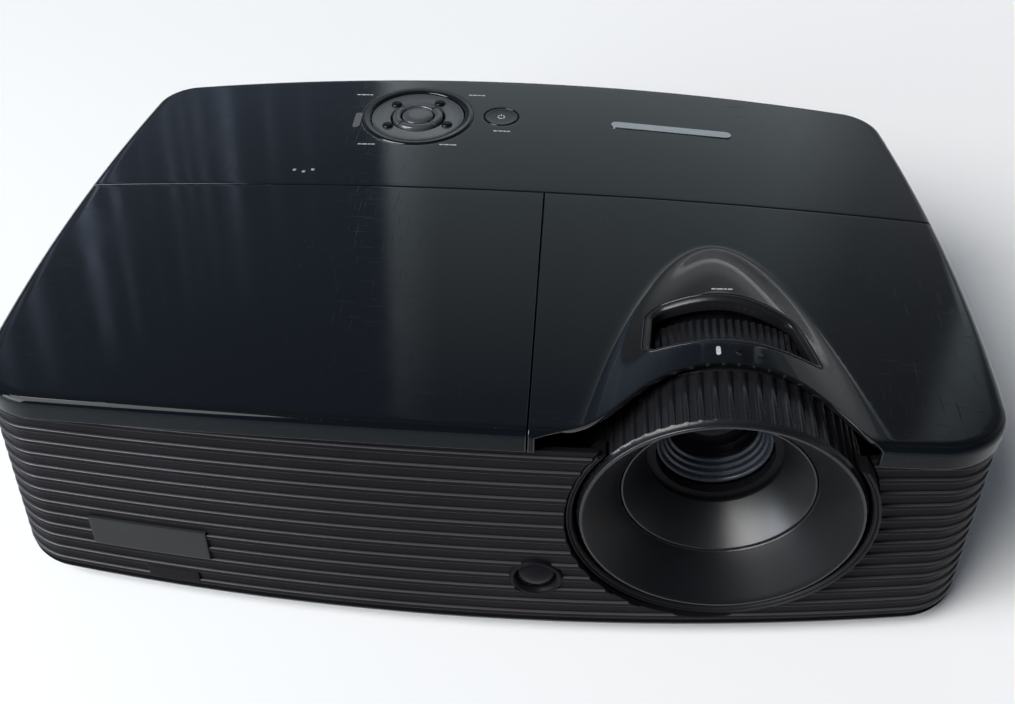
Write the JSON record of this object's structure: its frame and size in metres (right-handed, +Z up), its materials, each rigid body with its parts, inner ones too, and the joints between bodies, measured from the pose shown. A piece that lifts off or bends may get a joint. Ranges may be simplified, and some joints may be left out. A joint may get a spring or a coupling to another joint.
{
  "type": "data projector",
  "caption": "Portable data projector with a crowned gloss top, ribbed front, hooded lens with focus and zoom rings, top keypad and screw feet.",
  "frame": {"origin": "middle of the rectangle that the casing covers, on the surface that the feet stand on", "axes": "+Z up, -Y towards the lens and the ribbed front, +X towards the lens end of the front"},
  "size_m": [0.317, 0.2104, 0.1047],
  "materials": {
    "gloss_black": "piano-black gloss with fine scratches",
    "satin_black": "fine satin mould texture",
    "dark_plastic": "dark moulded plastic",
    "key_plastic": "soft satin keys with pale icons",
    "barrel_grey": "blue-grey satin",
    "lens_glass": "coated glass",
    "smoked_window": "dark infrared window",
    "steel": "bright steel",
    "aluminium": "cast and extruded aluminium",
    "circuit_board": "green solder mask",
    "heatproof": "heat-resistant moulding",
    "rubber": "matt rubber",
    "socket_blue": "moulded connector body"
  },
  "bodies": {
    "case": {"rear_top_panel": "gloss_black", "lens_side_cover": "gloss_black", "keypad_bezel": "gloss_black", "base_shell": "satin_black", "front_panel": "satin_black", "lens_collar": "satin_black", "lens_hood": "satin_black", "keypad_plate": "satin_black", "front_ir_bezel": "satin_black", "rear_panel": "satin_black", "exhaust_grille": "dark_plastic", "intake_grille": "dark_plastic", "lens_bezel": "dark_plastic", "lens_tube": "dark_plastic", "badge_plate": "dark_plastic", "power_inlet": "dark_plastic", "speaker": "dark_plastic", "exhaust_fan_frame": "dark_plastic", "blower_housing": "dark_plastic", "status_light_guide": "lens_glass", "front_ir_window": "smoked_window", "top_ir_window": "smoked_window", "lens_mount": "steel", "colour_wheel_motor": "steel", "hdmi_socket": "steel", "usb_socket": "steel", "optical_engine_housing": "aluminium", "dmd_heatsink": "aluminium", "lamp_reflector": "aluminium", "keypad_board": "circuit_board", "main_board": "circuit_board", "power_supply_board": "circuit_board", "lamp_housing": "heatproof", "vga_socket": "socket_blue"},
    "lamp_cover": {"lamp_cover": "gloss_black", "lamp_cover_screw": "steel"},
    "focus_ring": {"focus_ring": "satin_black"},
    "focus_group": {"lens_barrel": "barrel_grey", "front_lens_element": "lens_glass"},
    "zoom_ring": {"zoom_ring": "satin_black"},
    "zoom_group": {"zoom_lens_group": "lens_glass"},
    "colour_wheel": {"colour_wheel": "lens_glass"},
    "exhaust_fan_rotor": {"exhaust_fan_rotor": "dark_plastic"},
    "blower_rotor": {"blower_rotor": "dark_plastic"},
    "enter_key": {"enter_key": "key_plastic"},
    "up_key": {"up_key": "key_plastic"},
    "down_key": {"down_key": "key_plastic"},
    "left_key": {"left_key": "key_plastic"},
    "right_key": {"right_key": "key_plastic"},
    "menu_key": {"menu_key": "key_plastic"},
    "source_key": {"source_key": "key_plastic"},
    "resync_key": {"resync_key": "key_plastic"},
    "help_key": {"help_key": "key_plastic"},
    "power_key": {"power_key": "key_plastic"},
    "front_left_stem": {"front_left_foot_stem": "steel"},
    "front_left_knob": {"front_left_foot_knob": "rubber"},
    "front_right_stem": {"front_right_foot_stem": "steel"},
    "front_right_knob": {"front_right_foot_knob": "rubber"},
    "rear_stem": {"rear_foot_stem": "steel"},
    "rear_knob": {"rear_foot_knob": "rubber"}
  },
  "joints": [
    {"name": "lamp_cover_lift", "type": "slide", "parent": "case", "child": "lamp_cover", "axis": [0, 0, 1], "range_m": [0, 0.04]},
    {"name": "focus_ring_turn", "type": "hinge", "parent": "case", "child": "focus_ring", "pos_m": [0.0732, 0, 0.0585], "axis": [0, -1, 0], "range_deg": [-60, 60]},
    {"name": "focus_group_slide", "type": "slide", "parent": "case", "child": "focus_group", "axis": [0, -1, 0], "range_m": [-0.0012, 0.0012]},
    {"name": "zoom_ring_turn", "type": "hinge", "parent": "case", "child": "zoom_ring", "pos_m": [0.0732, 0, 0.0585], "axis": [0, -1, 0], "range_deg": [-20, 20]},
    {"name": "zoom_group_slide", "type": "slide", "parent": "case", "child": "zoom_group", "axis": [0, -1, 0], "range_m": [-0.002, 0.002]},
    {"name": "colour_wheel_spin", "type": "hinge", "parent": "case", "child": "colour_wheel", "pos_m": [0.026, -0.006, 0.062], "axis": [1, 0, 0], "continuous": true},
    {"name": "exhaust_fan_spin", "type": "hinge", "parent": "case", "child": "exhaust_fan_rotor", "pos_m": [-0.138, -0.003, 0.042], "axis": [1, 0, 0], "continuous": true},
    {"name": "blower_spin", "type": "hinge", "parent": "case", "child": "blower_rotor", "pos_m": [-0.062, -0.0845, 0.04], "axis": [0, -1, 0], "continuous": true},
    {"name": "enter_key_press", "type": "slide", "parent": "case", "child": "enter_key", "axis": [0.0193, -0.0639, -0.9978], "range_m": [0, 0.0006], "stiffness_N_per_m": 250},
    {"name": "up_key_press", "type": "slide", "parent": "case", "child": "up_key", "axis": [0.0193, -0.0639, -0.9978], "range_m": [0, 0.0006], "stiffness_N_per_m": 250},
    {"name": "down_key_press", "type": "slide", "parent": "case", "child": "down_key", "axis": [0.0193, -0.0639, -0.9978], "range_m": [0, 0.0006], "stiffness_N_per_m": 250},
    {"name": "left_key_press", "type": "slide", "parent": "case", "child": "left_key", "axis": [0.0193, -0.0639, -0.9978], "range_m": [0, 0.0006], "stiffness_N_per_m": 250},
    {"name": "right_key_press", "type": "slide", "parent": "case", "child": "right_key", "axis": [0.0193, -0.0639, -0.9978], "range_m": [0, 0.0006], "stiffness_N_per_m": 250},
    {"name": "menu_key_press", "type": "slide", "parent": "case", "child": "menu_key", "axis": [0.0193, -0.0639, -0.9978], "range_m": [0, 0.0006], "stiffness_N_per_m": 250},
    {"name": "source_key_press", "type": "slide", "parent": "case", "child": "source_key", "axis": [0.0193, -0.0639, -0.9978], "range_m": [0, 0.0006], "stiffness_N_per_m": 250},
    {"name": "resync_key_press", "type": "slide", "parent": "case", "child": "resync_key", "axis": [0.0193, -0.0639, -0.9978], "range_m": [0, 0.0006], "stiffness_N_per_m": 250},
    {"name": "help_key_press", "type": "slide", "parent": "case", "child": "help_key", "axis": [0.0193, -0.0639, -0.9978], "range_m": [0, 0.0006], "stiffness_N_per_m": 250},
    {"name": "power_key_press", "type": "slide", "parent": "case", "child": "power_key", "axis": [0.0024, -0.0639, -0.998], "range_m": [0, 0.0006], "stiffness_N_per_m": 250},
    {"name": "front_left_foot_slide", "type": "slide", "parent": "case", "child": "front_left_stem", "axis": [0, 0, -1], "range_m": [0, 0.01]},
    {"name": "front_left_foot_turn", "type": "hinge", "parent": "front_left_stem", "child": "front_left_knob", "pos_m": [-0.118, -0.072, 0], "axis": [0, 0, -1], "range_deg": [0, 1800]},
    {"name": "front_right_foot_slide", "type": "slide", "parent": "case", "child": "front_right_stem", "axis": [0, 0, -1], "range_m": [0, 0.01]},
    {"name": "front_right_foot_turn", "type": "hinge", "parent": "front_right_stem", "child": "front_right_knob", "pos_m": [0.118, -0.072, 0], "axis": [0, 0, -1], "range_deg": [0, 1800]},
    {"name": "rear_foot_slide", "type": "slide", "parent": "case", "child": "rear_stem", "axis": [0, 0, -1], "range_m": [0, 0.01]},
    {"name": "rear_foot_turn", "type": "hinge", "parent": "rear_stem", "child": "rear_knob", "pos_m": [0, 0.09, 0], "axis": [0, 0, -1], "range_deg": [0, 1800]}
  ],
  "couplings": [
    {"joint": "focus_group_slide", "follows": "focus_ring_turn", "m_per_rad": 0.0011448},
    {"joint": "zoom_group_slide", "follows": "zoom_ring_turn", "m_per_rad": 0.0057238},
    {"joint": "front_left_foot_slide", "follows": "front_left_foot_turn", "m_per_rad": 0.00031828},
    {"joint": "front_right_foot_slide", "follows": "front_right_foot_turn", "m_per_rad": 0.00031828},
    {"joint": "rear_foot_slide", "follows": "rear_foot_turn", "m_per_rad": 0.00031828}
  ]
}
